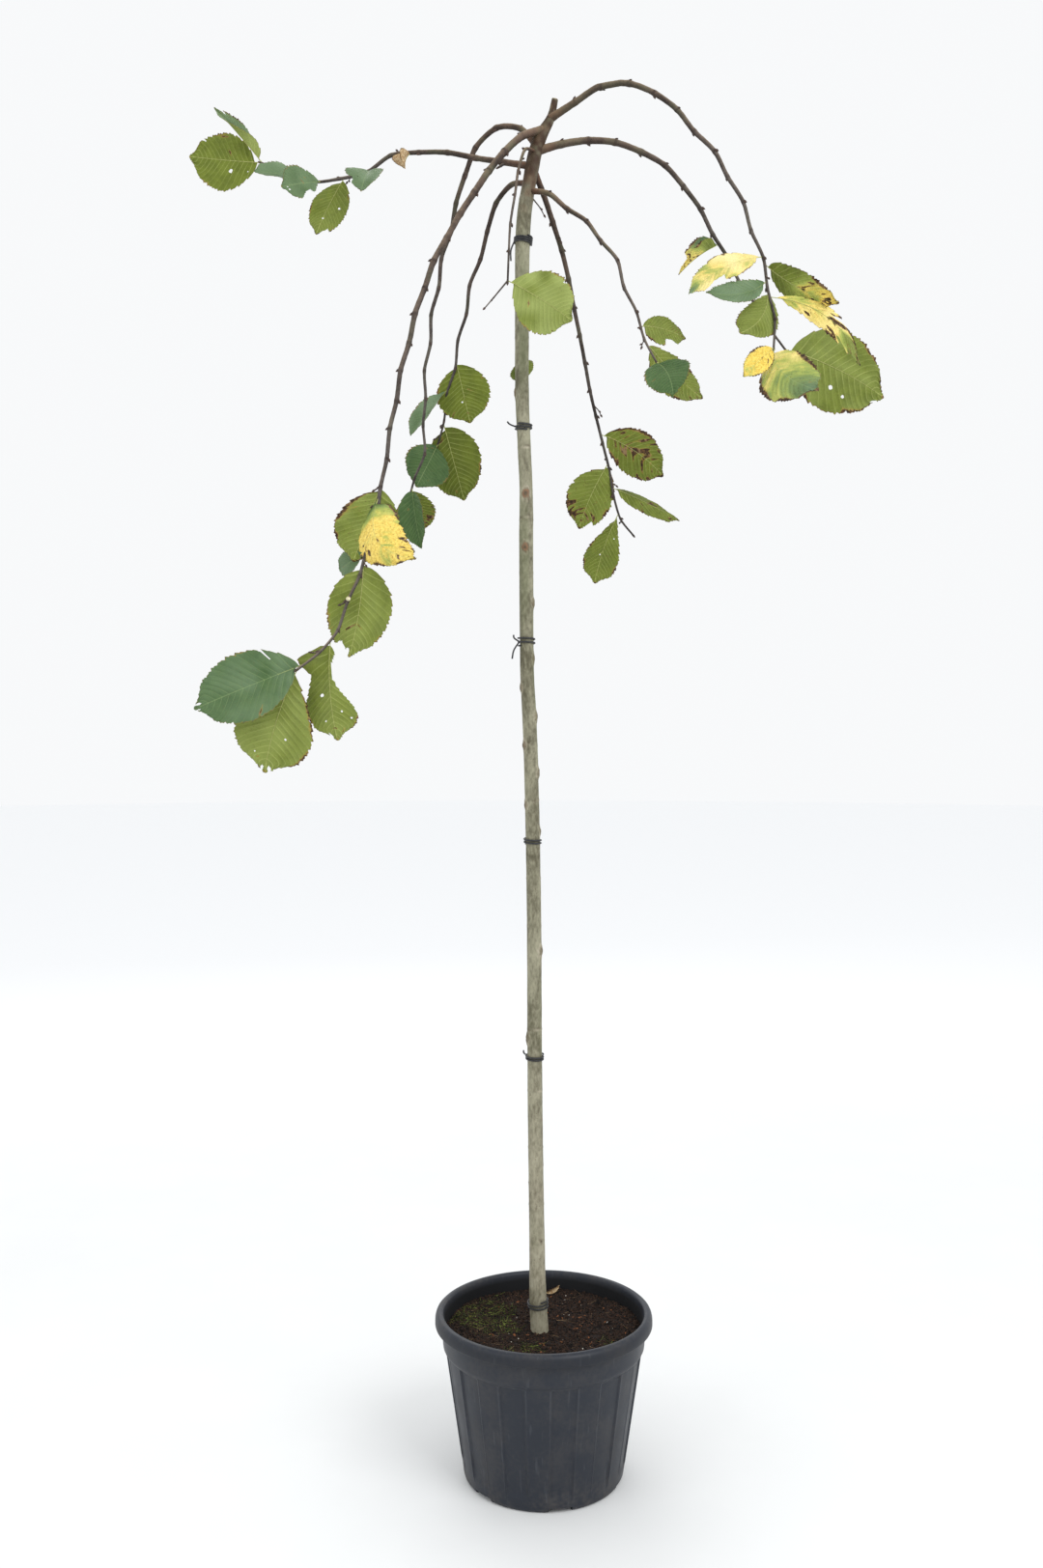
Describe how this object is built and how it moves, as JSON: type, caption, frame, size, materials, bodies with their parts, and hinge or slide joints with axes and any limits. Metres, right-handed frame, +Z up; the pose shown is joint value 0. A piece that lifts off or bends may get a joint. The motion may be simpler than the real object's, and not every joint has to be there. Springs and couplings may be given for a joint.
{
  "type": "potted weeping elm tree",
  "caption": "Young weeping elm grafted on a tall clear stem, with arching and hanging leafy boughs, growing in a round fluted nursery pot.",
  "frame": {"origin": "centre of the pot's flat underside", "axes": "+Z up along the stem, +X to the right and -Y to the front of the plant"},
  "size_m": [1.3913, 0.5884, 2.7026],
  "materials": {
    "pot": "anthracite injection-moulded plastic, satin, lightly scuffed",
    "soil": "moist dark potting compost with bark crumbs and moss",
    "stem": "smooth grey-green young bark with lenticels and healed knots",
    "limb": "brown-grey young bark with dark buds",
    "tie": "black hollow tie cord, satin",
    "foliage": "matte elm leaves in late summer and autumn colours, with raised veins and brown margins"
  },
  "bodies": {
    "root": {"pot": "pot", "soil": "soil", "trunk": "stem", "tie_1": "tie", "tie_2": "tie", "tie_3": "tie", "tie_4": "tie", "tie_5": "tie", "tie_6": "tie", "bough_upper_right_1": "limb", "bough_upper_right_2": "limb", "bough_upper_right_3": "limb", "foliage_upper_right": "foliage", "bough_right_1": "limb", "bough_right_2": "limb", "bough_right_3": "limb", "foliage_right": "foliage", "bough_rear_left_1": "limb", "bough_rear_left_2": "limb", "bough_rear_left_3": "limb", "foliage_rear_left": "foliage", "bough_front_left_1": "limb", "bough_front_left_2": "limb", "bough_front_left_3": "limb", "foliage_front_left": "foliage", "bough_far_left_1": "limb", "foliage_far_left": "foliage", "bough_inner_left_1": "limb", "bough_inner_left_2": "limb", "foliage_inner_left": "foliage", "bough_rear_right_1": "limb", "bough_rear_right_2": "limb", "bough_rear_right_3": "limb", "foliage_rear_right": "foliage", "bough_front_right_1": "limb", "bough_front_right_2": "limb", "foliage_front_right": "foliage", "bough_front_1": "limb", "bough_front_2": "limb", "foliage_front": "foliage", "bough_back_1": "limb", "bough_back_2": "limb", "foliage_back": "foliage"}
  },
  "joints": []
}
